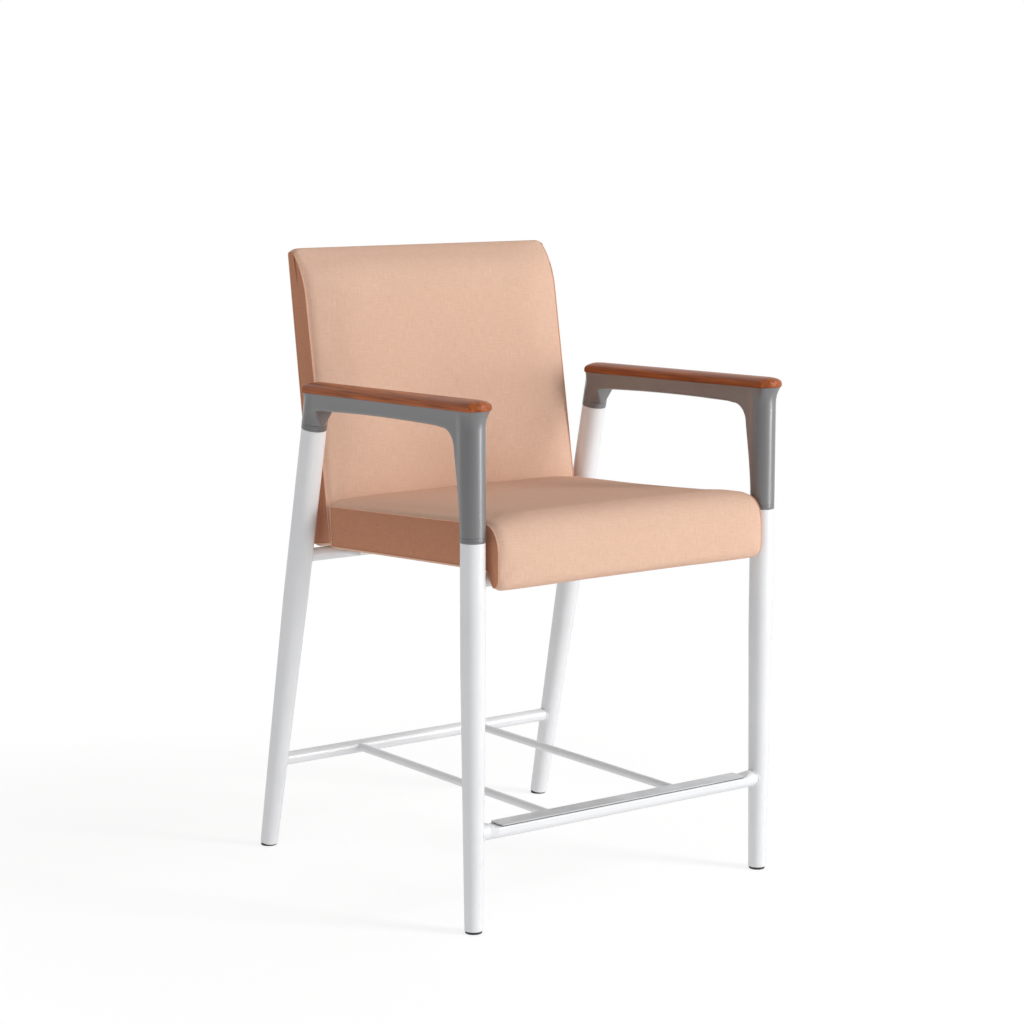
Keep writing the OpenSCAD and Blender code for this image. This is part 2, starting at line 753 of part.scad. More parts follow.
module tee_nut_hole(depth, barrel_r, flange_r) {
    translate([0, 0, -over]) cylinder(r = barrel_r + fit, h = depth + over);
    translate([0, 0, depth - tee_flange_t])
        cylinder(r = flange_r + fit, h = tee_flange_t + over);
}

// Hexagon bolt whose head bears at a height below the seat's underside
module seat_bolt(bearing) {
    translate([0, 0, bearing]) cylinder(r = seat_bolt_r, h = cover_t + board_t - over - bearing);
    translate([0, 0, bearing - seat_bolt_head_t])
        cylinder(r = seat_bolt_head_r, h = seat_bolt_head_t, $fn = 6);
}

module seat_board() color(plywood) at_seat() difference() {
    seat_board_sheet(cover_t, cover_t + board_t);
    seat_bolt_places() translate([0, 0, cover_t])
        tee_nut_hole(board_t, tee_barrel_r, tee_flange_r);
}

module seat_foam() color(foam_yellow) at_seat() difference() {
    seat_form(cover_t);
    seat_board_sheet(cover_t, cover_t + board_t);
    intersection() {
        seat_board_sheet(-over, cover_t + over);
        translate([-seat_w, nose_root + over, -seat_t]) cube([2 * seat_w, seat_end, 2 * seat_t]);
    }
}

module seat_cover() color(peach) at_seat() difference() {
    seat_form();
    seat_form(cover_t);
    under_sheet(-over, cover_t + over);
    seat_bolt_places() translate([0, 0, -over])
        cylinder(r = seat_bolt_r + seat_bolt_hole_gap, h = cover_t + 2 * over);
}

module seat_dust_cover() color(black) at_seat() under_sheet(-dust_t, 0, dust_lap);

module seat_bolts() color(steel) at_seat() {
    seat_bolt_places(rear = false) seat_bolt(-rail_d);
    seat_bolt_places(front = false) seat_bolt(-bracket_t);
}

module seat_tee_nuts() color(steel) at_seat() seat_bolt_places() translate([0, 0, cover_t])
    tee_nut(board_t, tee_barrel_r, tee_flange_r, seat_bolt_r);

// Back

// Side view of the back: [depth, height], its rear face at zero depth and its
// front at negative depths, rolled to the rear near the top
function back_side() = let (
    turn = back_taper + back_roll_turn,
    roll_z = back_h - back_edge_r + back_roll_r * sin(back_taper)
        - (back_roll_r - back_edge_r) * sin(turn),
    centre = [
        roll_z * tan(back_taper) - back_t + back_roll_r * cos(back_taper),
        roll_z - back_roll_r * sin(back_taper)
    ],
    crest = centre + (back_roll_r - back_edge_r) * [-cos(turn), sin(turn)]
) concat(
    arc([-back_corner_r, back_corner_r], back_corner_r, -90, 0, 3),
    [for (share = back_rear_shares) [0, share * back_h]],
    arc([-back_top_r, back_h - back_top_r], back_top_r, 0, 90, 3),
    arc(crest, back_edge_r, 90, back_front_angle - turn, 3),
    [for (i = [1 : 5]) let (a = back_front_angle - turn + back_roll_turn * i / 5)
        centre + back_roll_r * [cos(a), sin(a)]],
    [for (share = back_front_shares)
        [share * roll_z * tan(back_taper) - back_t, share * roll_z]],
    arc([back_front_r - back_t, back_front_r], back_front_r, back_front_angle, 270, 3)
);

function back_swells(points) = [for (i = [0 : len(points) - 1])
    let (z = points[i][1], rise = min(1, max(0, min(z, back_h - z)) / crown_rise_h))
        back_crown * max(0, -outward(points, i)[0]) * sin(90 * rise)];

module back_form(inset = 0) let (points = back_side())
    cushion(points, back_swells(points), [for (p = points) 0], back_half_w,
        [-back_t / 2, back_h / 2], inset);

// The board's outline as a standing sheet between two depths behind the front
module back_board_sheet(front, rear) let (height = back_h - board_margin - board_top_drop)
    translate([0, rear, board_margin + height / 2]) rotate([90, 0, 0])
        linear_extrude(height = rear - front)
            polygon(rounded_rect(back_w - 2 * (cover_t + board_side), height, board_corner_r));

// Bars of the two uprights, or the room that their cover and foam leave for them
module upright_bars(slack = 0) for (side = [left, right])
    translate([side * upright_x - upright_w / 2 - slack,
        -cover_t - board_t - upright_t - slack, upright_foot])
        cube([upright_w + 2 * slack, upright_t + slack, upright_l + slack - upright_foot]);

// Origin on the board's front face, +Z through the board to the rear
module back_bolt_places() for (side = [left, right], share = back_bolt_shares)
    translate([side * upright_x, -cover_t - board_t, share * upright_l]) rotate([-90, 0, 0])
        children();

module back_uprights() color(paint_white) difference() {
    at_back() difference() {
        upright_bars();
        back_bolt_places() translate([0, 0, -upright_t - over])
            cylinder(r = back_bolt_r + back_bolt_hole_gap, h = upright_t + 2 * over);
    }
    bar_across(rear_rail_y, rear_rail_h, rail_r, leg_spacing);
}

module back_board() color(plywood) at_back() difference() {
    back_board_sheet(-cover_t - board_t, -cover_t);
    back_bolt_places() tee_nut_hole(board_t, back_tee_barrel_r, back_tee_flange_r);
}

module back_foam() color(foam_yellow) at_back() difference() {
    back_form(cover_t);
    back_board_sheet(-cover_t - board_t, over);
    upright_bars(upright_slack);
    back_bolt_places() translate([0, 0, -upright_t - back_bolt_head_t - upright_slack])
        cylinder(r = back_bolt_head_r + upright_slack, h = back_bolt_head_t + over);
}

module back_cover() color(peach) at_back() difference() {
    back_form();
    back_form(cover_t);
    upright_bars(upright_slack);
}

module back_bolts() color(steel) at_back() back_bolt_places() {
    translate([0, 0, -upright_t]) cylinder(r = back_bolt_r, h = upright_t + board_t - over);
    translate([0, 0, -upright_t - back_bolt_head_t])
        cylinder(r = back_bolt_head_r, h = back_bolt_head_t);
}

module back_tee_nuts() color(steel) at_back() back_bolt_places()
    tee_nut(board_t, back_tee_barrel_r, back_tee_flange_r, back_bolt_r);

// Glides

// Threaded insert that fills the foot of a leg, given as the leg's bore
module insert(end_l) difference() {
    intersection() {
        children();
        cylinder(r = rear_leg_d, h = end_l + insert_l);
    }
    cylinder(r = stem_r + running, h = end_l + insert_l + over);
}

module glide_inserts() color(black) for (side = [left, right]) {
    at_front_leg(side) insert(front_end_l) front_leg_solid(leg_wall + insert_play);
    at_rear_leg(side) insert(rear_end_l) rear_leg_solid(leg_wall + insert_play);
}

// Threaded stem of a glide under a leg's end, rooted in its pad
module glide_stem(end_l) color(steel)
    translate([0, 0, end_l - pad_gap - stem_seat]) cylinder(r = stem_r, h = stem_seat + stem_l);

module glide_stem_front(side) at_front_leg(side) glide_stem(front_end_l);

module glide_stem_rear(side) at_rear_leg(side) glide_stem(rear_end_l);

module glide_pad_front(side) color(nylon_grey) at_front_leg(side) difference() {
    rotate_extrude() polygon([
        [0, 0], [pad_d / 2 - pad_chamfer, 0], [pad_d / 2, pad_chamfer], [pad_d / 2, pad_t],
        [0, pad_t]
    ]);
    translate([0, 0, pad_t - stem_seat]) cylinder(r = stem_r, h = stem_seat + over);
}

// Wedge that stands flat on the floor under a leaning leg
module glide_pad_rear(side) color(nylon_grey) difference() {
    at_rear_leg(side) difference() {
        translate([0, 0, -pad_d / 2]) cylinder(d = pad_d, h = pad_d / 2 + rear_end_l - pad_gap);
        translate([0, 0, rear_end_l - pad_gap - stem_seat])
            cylinder(r = stem_r, h = stem_seat + over);
    }
    stationed() translate([side * leg_x - pad_d, leg_reach - pad_d, -pad_d])
        cube([2 * pad_d, 2 * pad_d, pad_d]);
}

front_leg(left);  // front_leg_left
front_leg(right);  // front_leg_right
rear_leg(left);  // rear_leg_left
rear_leg(right);  // rear_leg_right
arm_casting(left);  // arm_casting_left
arm_casting(right);  // arm_casting_right
arm_cap(left);  // arm_cap_left
arm_cap(right);  // arm_cap_right
arm_cap_screws();
arm_lock_screws();
front_seat_rail();
rear_seat_rail();
seat_brackets();
rear_stretcher();
stretcher_rod(left);  // stretcher_rod_left
stretcher_rod(right);  // stretcher_rod_right
footrest_bar();
footrest_tape();
footrest_tread();
seat_board();
seat_foam();
seat_cover();
seat_dust_cover();
seat_bolts();
seat_tee_nuts();
back_uprights();
back_board();
back_foam();
back_cover();
back_bolts();
back_tee_nuts();
glide_inserts();
glide_stem_front(left);  // glide_stem_front_left
glide_pad_front(left);  // glide_pad_front_left
glide_stem_front(right);  // glide_stem_front_right
glide_pad_front(right);  // glide_pad_front_right
glide_stem_rear(left);  // glide_stem_rear_left
glide_pad_rear(left);  // glide_pad_rear_left
glide_stem_rear(right);  // glide_stem_rear_right
glide_pad_rear(right);  // glide_pad_rear_right
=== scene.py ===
"""Looks of the hip-height patient chair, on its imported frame.

Lengths are in millimetres until a mesh is made, then in metres. The front of
the chair faces -Y. Depths along the chair are measured from the front legs'
axes, as in the part's source, and FRONT_Y moves them to the shared origin.
"""
import json
import math

import bmesh
import bpy
import numpy as np
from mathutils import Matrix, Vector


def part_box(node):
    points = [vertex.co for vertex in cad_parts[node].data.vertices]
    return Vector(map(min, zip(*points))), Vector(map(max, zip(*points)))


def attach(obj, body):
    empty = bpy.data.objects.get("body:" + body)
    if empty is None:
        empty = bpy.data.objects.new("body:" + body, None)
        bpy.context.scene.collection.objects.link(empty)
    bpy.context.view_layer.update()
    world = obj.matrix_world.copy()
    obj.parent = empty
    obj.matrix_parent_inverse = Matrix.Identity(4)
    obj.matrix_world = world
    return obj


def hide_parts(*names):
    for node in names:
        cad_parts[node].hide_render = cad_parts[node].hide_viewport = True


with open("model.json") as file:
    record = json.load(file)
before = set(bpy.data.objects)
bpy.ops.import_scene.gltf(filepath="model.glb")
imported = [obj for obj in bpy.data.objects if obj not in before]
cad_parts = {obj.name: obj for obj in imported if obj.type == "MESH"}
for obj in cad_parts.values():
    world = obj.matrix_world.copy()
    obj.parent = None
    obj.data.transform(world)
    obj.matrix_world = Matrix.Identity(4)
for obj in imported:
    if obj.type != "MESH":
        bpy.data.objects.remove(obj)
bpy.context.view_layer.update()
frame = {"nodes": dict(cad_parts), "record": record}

MM = 0.001
SIDES = {"left": -1, "right": 1}
front_leg_box = np.array(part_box("front_leg_right")) / MM
LEG_X, FRONT_Y = front_leg_box.mean(0)[:2]

# Legs
REACH = 593.0
RAKE = math.radians(12.4)
FRONT_LEG_H = 594.0
FRONT_FOOT_R, FRONT_TOP_R, FRONT_TAPER_H = 14.0, 19.0, 400.0
REAR_FOOT_R, REAR_TOP_R, REAR_TAPER_L = 14.5, 20.25, 445.0

# Rails: depth, height and radius
REAR_RAIL_H, LOW_RAIL_H = 508.5, 153.0
FRONT_RAIL = (12.0, 534.0, 11.0)
REAR_RAIL = (REACH - REAR_RAIL_H * math.tan(RAKE), REAR_RAIL_H, 11.0)
STRETCHER = (REACH - LOW_RAIL_H * math.tan(RAKE), LOW_RAIL_H, 11.0)
FOOTREST = (0.0, LOW_RAIL_H, 13.0)
FOOTREST_FLAT_R = 16.0
ROD_X, ROD_R = 125.0, 6.5

# Arms
SLEEVE_L = {"front": 194.5, "rear": 60.3}
ARM_H = FRONT_LEG_H + SLEEVE_L["front"]
ARM_TILT = math.radians(1.2)
SLEEVE_R = {"front": 19.5, "rear": 20.75}
BEAM_HALF_W, BEAM_T, BEAM_ARCH, BEAM_EDGE_R = 18.6, 23.5, 4.0, 4.0
FRONT_FILLET, REAR_FILLET = 30.0, 8.0
FRONT_WEB, WEB_DEPTH = 5.5, 45.0
COLLAR_L, COLLAR_T = 10.0, 2.4
RING_HEIGHTS, RING_DEPTH = (3.4, 7.4), 0.6
CAP_W, CAP_T, CAP_FRONT, CAP_BOW = 44.5, 16.5, 27.0, 9.0
FLARE_DEPTH, FLARE_INSET = 30.0, 1.2
REAR_TOP_Y = (REACH - ARM_H * math.tan(RAKE)) / (1 - math.tan(ARM_TILT) * math.tan(RAKE))
REAR_TOP_V = REAR_TOP_Y / math.cos(ARM_TILT)
REAR_LEG_L = (ARM_H - REAR_TOP_Y * math.tan(ARM_TILT)) / math.cos(RAKE) - SLEEVE_L["rear"]
CAP_REAR = REAR_TOP_V + SLEEVE_R["rear"] / math.cos(RAKE + ARM_TILT)

# Seat
SEAT_TILT = math.radians(3.0)
SEAT_BASE_Z = (FRONT_RAIL[1] + FRONT_RAIL[2] / math.cos(SEAT_TILT)
               + FRONT_RAIL[0] * math.tan(SEAT_TILT))
SEAT_HALF_W, SEAT_T, SEAT_NOSE = 259.0, 75.0, 34.5
NOSE_RISE, NOSE_TUCK, NOSE_DROP, NOSE_ROOT = 3.0, 1.5, 26.0, 6.0
NOSE_SIZE, LIP_SIZE = np.array([42.0, 48.0]), np.array([17.0, 22.0])

# Back
BACK_LEAN = math.radians(8.2)
BACK_HALF_W, BACK_H, BACK_T = 253.5, 486.0, 61.5
BACK_TAPER, BACK_ROLL = math.radians(1.35), math.radians(37.0)
BACK_ROLL_R, BACK_EDGE_R = 135.0, 8.0
BACK_SET, RAIL_GAP, SEAT_GAP = 13.3, 0.8, 1.5
BACK_BASE_Y = REAR_RAIL[0] + BACK_SET
BACK_BASE_Z = (REAR_RAIL[1] + (REAR_RAIL[2] + RAIL_GAP) / math.cos(BACK_LEAN)
               - BACK_SET * math.tan(BACK_LEAN))
SEAT_END = (BACK_BASE_Y - BACK_T * math.cos(BACK_LEAN) - SEAT_GAP) / math.cos(SEAT_TILT)

# Padded covers: how far a side panel bulges out of its seam, and by how much more for each
# millimetre that the seam is drawn in; how far the cloth may move the band and the panels
SIDE_BULGE, DRAWN_BULGE = 1.4, 0.3
BAND_GIVE, PANEL_GIVE = 1.4, 1.2
SEAM_R, SEAM_OUT, SEAM_UP = 0.95, 0.45, 0.35
CORE_KNOTS = 24
PANEL_CLOTH_Y = 900


# ---- Meshes


def add_object(name, data):
    piece = bpy.data.objects.new(name, data)
    bpy.context.scene.collection.objects.link(piece)
    return piece


def add_mesh(name, points, faces, crease=None):
    """Smooth mesh from points in millimetres, sharp where it bends by more than crease degrees."""
    mesh = bpy.data.meshes.new(name)
    mesh.from_pydata((np.asarray(points) * MM).tolist(), [], faces)
    mesh.update()
    mesh.polygons.foreach_set("use_smooth", [True] * len(mesh.polygons))
    if crease:
        mesh.set_sharp_from_angle(angle=math.radians(crease))
    return add_object(name, mesh)


def finished(piece, material, body="frame", replaced=()):
    """Gives a piece its material, its body and the nodes that it stands for."""
    if material:
        piece.data.materials.append(material)
    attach(piece, body)
    if replaced:
        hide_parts(*replaced)
    return piece


def tilted(points, angle, base_y, base_z):
    """Points in a plane that falls to the rear by angle, as depths and heights of the chair."""
    x, v, w = np.asarray(points, float).T
    return np.column_stack([
        x,
        base_y + v * math.cos(angle) + w * math.sin(angle) + FRONT_Y,
        base_z - v * math.sin(angle) + w * math.cos(angle),
    ])


def leaning(points):
    """Points about a vertical axis, moved to the rear legs' leaning axis at x = 0."""
    x, y, z = np.asarray(points, float).T
    return np.column_stack([
        x,
        REACH + y * math.cos(RAKE) - z * math.sin(RAKE) + FRONT_Y,
        y * math.sin(RAKE) + z * math.cos(RAKE),
    ])


def strip_faces(rings, n):
    """Quads between successive closed rings of n points, facing out when rings rise and run
    anticlockwise."""
    return [[k * n + i, k * n + (i + 1) % n, (k + 1) * n + (i + 1) % n, (k + 1) * n + i]
            for k in range(rings - 1) for i in range(n)]


def lathe(profile, steps=96):
    """Closed solid of revolution about Z from (radius, height) pairs that run anticlockwise."""
    angles = np.linspace(0, 2 * math.pi, steps, endpoint=False)
    points = [(r * math.cos(a), r * math.sin(a), h) for a in angles for r, h in profile]
    n = len(profile)
    faces = [[s * n + i, (s + 1) % steps * n + i,
              (s + 1) % steps * n + (i + 1) % n, s * n + (i + 1) % n]
             for s in range(steps) for i in range(n)]
    return np.array(points), faces


def arc(centre, radius, start, end, steps=24, power=2.0):
    """Arc of a circle or an ellipse, squarer with a power above 2."""
    angles = np.radians(np.linspace(start, end, steps + 1))
    way = np.column_stack([np.cos(angles), np.sin(angles)])
    return np.asarray(centre) + radius * np.sign(way) * np.abs(way) ** (2 / power)


def add_bead(name, path, radius):
    """Round bead along a closed path in millimetres."""
    curve = bpy.data.curves.new(name, "CURVE")
    curve.dimensions = "3D"
    curve.bevel_depth = radius * MM
    curve.bevel_resolution = 3
    spline = curve.splines.new("POLY")
    spline.points.add(len(path) - 1)
    spline.use_cyclic_u = True
    spline.points.foreach_set("co", np.column_stack([path * MM, np.ones(len(path))]).ravel())
    return add_object(name, curve)


# ---- Cast arms, as the zero surface of a distance field


def arm_side():
    """Side view of the beam and its two webs, in the arm's own plane, given as [v, w]."""
    low = -BEAM_T - BEAM_ARCH
    above, foot = 40, low - 150
    arm_rake = RAKE - ARM_TILT
    front_v = SLEEVE_R["front"] + FRONT_WEB
    rear_v = REAR_TOP_V - low * math.tan(arm_rake) - SLEEVE_R["rear"] / math.cos(arm_rake)
    start, end = front_v + FRONT_FILLET, rear_v - REAR_FILLET
    v = np.linspace(start, end, 25)[1:-1]
    t = (2 * v - front_v - rear_v) / (rear_v - front_v)
    return np.concatenate([
        [[REAR_TOP_V, above], [0, above], [0, foot], [SLEEVE_R["front"] / 2, foot]],
        arc([start, low - FRONT_FILLET], FRONT_FILLET, 180, 90),
        np.column_stack([v, low + BEAM_ARCH * (1 - t * t)]),
        arc([end, low - REAR_FILLET], REAR_FILLET, 90, 10, 12),
        [[rear_v + WEB_DEPTH * math.tan(arm_rake) + 3, low - WEB_DEPTH],
         [REAR_TOP_V + (WEB_DEPTH - low) * math.tan(arm_rake), low - WEB_DEPTH]],
    ])


def polygon_distance(polygon, a, b):
    """Distance of places (a, b) from a polygon's edge, negative inside."""
    nearest = np.full(np.broadcast(a, b).shape, np.inf)
    inside = np.zeros(nearest.shape, bool)
    for p, q in zip(polygon, np.roll(polygon, -1, 0)):
        edge = q - p
        da, db = a - p[0], b - p[1]
        t = np.clip((da * edge[0] + db * edge[1]) / (edge @ edge), 0, 1)
        nearest = np.minimum(nearest, (da - t * edge[0]) ** 2 + (db - t * edge[1]) ** 2)
        if edge[1]:
            inside ^= ((p[1] > b) != (q[1] > b)) & (da < db * edge[0] / edge[1])
    return np.where(inside, -1, 1) * np.sqrt(nearest)


def smooth_min(a, b, reach):
    """Lower of two fields, rounded where they lie within reach of each other."""
    h = np.clip(1 - np.abs(a - b) / reach, 0, 1)
    return np.minimum(a, b) - h * h * reach / 4


def arm_field(x, v, w, outline=arm_side()):
    """Signed distance to a cast arm, in the arm's own axes, open above and below its ends."""
    y = v * math.cos(ARM_TILT) + w * math.sin(ARM_TILT)
    z = ARM_H - v * math.sin(ARM_TILT) + w * math.cos(ARM_TILT)
    front = np.hypot(x, y) - SLEEVE_R["front"]
    rear = np.hypot(x, (y - REACH) * math.cos(RAKE) + z * math.sin(RAKE)) - SLEEVE_R["rear"]
    # The flat faces sink into the front sleeve towards its lower end. They widen to the rear
    # sleeve, and fade into it below the beam
    sink = np.clip((-w - 70) / 100, 0, 1)
    widen = np.clip((v - 300) / 90, 0, 1)
    fade = np.clip((-w - 20) / 32, 0, 1)
    half_w = (BEAM_HALF_W - 3 * sink ** 2
              + widen ** 2 * (3 - 2 * widen) * (1.7 - 15 * fade ** 1.6))
    side = np.abs(x) - half_w + BEAM_EDGE_R
    edge = polygon_distance(outline, v, w) + BEAM_EDGE_R
    beam = (np.minimum(np.maximum(side, edge), 0)
            + np.hypot(np.maximum(side, 0), np.maximum(edge, 0)) - BEAM_EDGE_R)
    body = smooth_min(smooth_min(front, rear, 4), beam, 6)
    # The top flares out to the cap's outline
    edge_in = CAP_BOW * (2 * x / CAP_W) ** 2 + FLARE_INSET
    ends = np.maximum(edge_in - CAP_FRONT - v, v + edge_in - CAP_REAR)
    lip = -smooth_min(-ends, CAP_W / 2 - FLARE_INSET - np.abs(x), 5)
    flare = np.clip(1 + w / FLARE_DEPTH, 0, 1) ** 2.6
    return (1 - flare) * body + flare * lip


def surface_net(values):
    """Quads round the zero surface of a grid of values, its points in grid steps."""
    cells = tuple(n - 1 for n in values.shape)
    total = np.zeros(cells + (3,))
    count = np.zeros(cells)
    crossings = []
    for axis in range(3):
        low = values.take(range(cells[axis]), axis)
        high = values.take(range(1, values.shape[axis]), axis)
        at = np.argwhere((low < 0) != (high < 0))
        f0, f1 = low[tuple(at.T)], high[tuple(at.T)]
        place = at.astype(float)
        place[:, axis] += f0 / (f0 - f1)
        b, c = (axis + 1) % 3, (axis + 2) % 3
        corners = []
        for db, dc in ((0, 0), (1, 0), (1, 1), (0, 1)):
            cell = at.copy()
            cell[:, b] -= db
            cell[:, c] -= dc
            corners.append(cell)
            held = np.all((cell >= 0) & (cell < cells), axis=1)
            np.add.at(total, tuple(cell[held].T), place[held])
            np.add.at(count, tuple(cell[held].T), 1)
        corners = np.stack(corners, 1)
        whole = np.all((corners >= 0) & (corners < cells), axis=(1, 2))
        crossings.append((corners[whole], (f0 < 0)[whole]))
    used = count > 0
    index = np.full(cells, -1)
    index[used] = np.arange(used.sum())
    faces = []
    for corners, outward in crossings:
        quads = index[tuple(np.moveaxis(corners, -1, 0))]
        quads[~outward] = quads[~outward][:, ::-1]
        faces.extend(quads.tolist())
    return total[used] / count[used][:, None], faces


def cut(mesh, place, normal, keep):
    """Cuts away what lies past a plane, of the faces that keep() picks, and closes the hole."""
    picked = [f for f in mesh.faces if keep(f.calc_center_median())]
    # Keys keep their order, where a set's would change from run to run and the new faces' with it
    around = dict.fromkeys(picked)
    for f in picked:
        around.update(dict.fromkeys(f.edges))
        around.update(dict.fromkeys(f.verts))
    result = bmesh.ops.bisect_plane(mesh, geom=list(around), plane_co=place, plane_no=normal,
                                    clear_outer=True, dist=1e-4)
    rim = [e for e in result["geom_cut"] if isinstance(e, bmesh.types.BMEdge)]
    for edge in rim:
        edge.smooth = False
    for face in bmesh.ops.holes_fill(mesh, edges=rim)["faces"]:
        face.smooth = False


def arm_mesh():
    """Mesh of one cast arm at x = 0, in the arm's own axes, closed where it is cut off."""
    step, nudge, middle_v = 2.2, 0.05, 200
    lows, highs = (-24, -30, -196), (24, CAP_REAR + 24, 6)
    axes = [np.arange(a, b, step) for a, b in zip(lows, highs)]
    grid = arm_field(axes[0][:, None, None], axes[1][None, :, None], axes[2][None, None, :])
    points, faces = surface_net(grid)
    points = points * step + lows
    # Each point moves on to the true surface
    for _ in range(4):
        value = arm_field(*points.T)
        slope = np.stack([arm_field(*(points + d).T) - arm_field(*(points - d).T)
                          for d in np.eye(3) * nudge], 1) / (2 * nudge)
        points -= slope * (value / np.maximum((slope ** 2).sum(1), 0.2))[:, None]
    mesh = bmesh.new()
    verts = [mesh.verts.new(p) for p in points]
    for face in faces:
        mesh.faces.new([verts[i] for i in face]).smooth = True
    cut(mesh, (0, 0, 0), (0, 0, 1), lambda c: True)
    tilt, lean = ARM_TILT, RAKE - ARM_TILT
    collar_z = FRONT_LEG_H + COLLAR_L - ARM_H
    cut(mesh, (0, -collar_z * math.sin(tilt), collar_z * math.cos(tilt)),
        (0, math.sin(tilt), -math.cos(tilt)), lambda c: c.y < middle_v)
    along = REAR_LEG_L + COLLAR_L
    y = REACH - along * math.sin(RAKE)
    z = along * math.cos(RAKE) - ARM_H
    cut(mesh, (0, y * math.cos(tilt) - z * math.sin(tilt), y * math.sin(tilt) + z * math.cos(tilt)),
        (0, math.sin(lean), -math.cos(lean)), lambda c: c.y > middle_v)
    return mesh


def add_arms(material):
    """The two cast arms, and a collar with two ring grooves at the end of each sleeve."""
    source = arm_mesh()
    for side, sign in SIDES.items():
        body = source.copy()
        places = np.array([vert.co for vert in body.verts]) + [sign * LEG_X, 0, 0]
        for vert, place in zip(body.verts, tilted(places, ARM_TILT, 0, ARM_H) * MM):
            vert.co = place
        mesh = bpy.data.meshes.new(f"cast_arm_{side}")
        body.to_mesh(mesh)
        body.free()
        finished(add_object(mesh.name, mesh), material,
                 replaced=[f"arm_casting_{side}"])
        for end, radius in SLEEVE_R.items():
            inner, groove = radius - COLLAR_T, radius - RING_DEPTH
            profile = [(inner, 0), (radius - 1.1, 0), (radius - 0.3, 0.3), (radius, 1.1)]
            for ring in RING_HEIGHTS:
                profile += [(radius, ring), (groove, ring + 0.3),
                            (groove, ring + 0.9), (radius, ring + 1.2)]
            profile += [(radius, COLLAR_L), (inner, COLLAR_L)]
            points, faces = lathe(profile)
            if end == "front":
                points = points + [0, FRONT_Y, FRONT_LEG_H]
            else:
                points = leaning(points + [0, 0, REAR_LEG_L])
            points[:, 0] += sign * LEG_X
            finished(add_mesh(f"arm_collar_{end}_{side}", points, faces, crease=30),
                     material)
    source.free()


# ---- Wooden caps


def cap_outline(inset):
    """Cap's outline seen from above, anticlockwise, with its two ends bowed."""
    half = CAP_W / 2 - inset
    t = np.linspace(-1, 1, 13)
    front = np.column_stack([half * t, inset - CAP_FRONT + CAP_BOW * t * t])
    rear = np.column_stack([-half * t, CAP_REAR - inset - CAP_BOW * t * t])
    side = np.linspace(0, 1, 26)[1:-1, None]
    return np.concatenate([
        front, front[-1] + side * (rear[0] - front[-1]),
        rear, rear[-1] + side * (front[0] - rear[-1]),
    ])


def add_caps(material):
    """The two caps, as outlines that draw in over a rounded lower edge and a domed top."""
    rise, bulge = 5.0, 2.4
    turn = np.radians(np.linspace(0, 84, 15))
    profile = [(1.9, 0), (1.0, 0.3), (0.35, 1.2), (0.05, 2.8)]
    profile += [(CAP_W / 2 * (1 - math.cos(a) ** (2 / bulge)),
                 rise + (CAP_T - rise) * math.sin(a) ** (2 / bulge)) for a in turn]
    rings = [cap_outline(inset) for inset, _ in profile]
    n = len(rings[0])
    points = np.concatenate([np.column_stack([ring, np.full(n, height)])
                             for ring, (_, height) in zip(rings, profile)])
    last = len(profile) - 1
    faces = strip_faces(len(profile), n)
    faces += [list(range(n))[::-1], [last * n + i for i in range(n)]]
    for side, sign in SIDES.items():
        placed = tilted(points + [sign * LEG_X, 0, 0], ARM_TILT, 0, ARM_H)
        finished(add_mesh(f"wood_cap_{side}", placed, faces, crease=28), material,
                 replaced=[f"arm_cap_{side}"])


# ---- Padded covers


def resampled(outline, spacing=7.0, turn=0.28):
    """Closed outline with a point each spacing, and more where it bends."""
    dense = []
    for p, q in zip(outline, np.roll(outline, -1, 0)):
        pieces = max(1, int(np.linalg.norm(q - p) / 1.5))
        dense.extend(p + (q - p) * k / pieces for k in range(pieces))
    dense = np.array(dense)
    along = np.roll(dense, -1, 0) - dense
    heading = np.arctan2(along[:, 1], along[:, 0])
    bend = np.abs((heading - np.roll(heading, 1) + math.pi) % (2 * math.pi) - math.pi)
    cost = np.linalg.norm(along, axis=1) / spacing + (bend + np.roll(bend, -1)) / 2 / turn
    reached = np.concatenate([[0], np.cumsum(cost)])
    wanted = np.linspace(0, reached[-1], math.ceil(reached[-1]), endpoint=False)
    closed = np.vstack([dense, dense[:1]])
    return np.column_stack([np.interp(wanted, reached, closed[:, k]) for k in (0, 1)])


def outward(points):
    """Unit normals that point out of a closed anticlockwise outline."""
    along = np.roll(points, -1, 0) - np.roll(points, 1, 0)
    normal = np.column_stack([along[:, 1], -along[:, 0]])
    return normal / np.linalg.norm(normal, axis=1)[:, None]


def seat_side():
    """Side view of the seat in its own plane, anticlockwise from its lower rear corner."""
    end, corner = SEAT_END, 7.0
    share = np.linspace(0.96, 0.1, 24)
    top = np.column_stack([share * end, SEAT_T + NOSE_RISE * (1 - share) ** 4])
    nose = [NOSE_SIZE[0] - SEAT_NOSE, SEAT_T + NOSE_RISE - NOSE_SIZE[1]]
    lip = [NOSE_TUCK + LIP_SIZE[0] - SEAT_NOSE, LIP_SIZE[1] - NOSE_DROP]
    return np.concatenate([
        arc([end - corner, corner], corner, -90, 0, 8),
        arc([end - corner, SEAT_T - corner], corner, 0, 90, 8),
        top, arc(nose, NOSE_SIZE, 82, 180, power=2.2), arc(lip, LIP_SIZE, 184, 300),
        [[NOSE_ROOT, 0]],
    ])


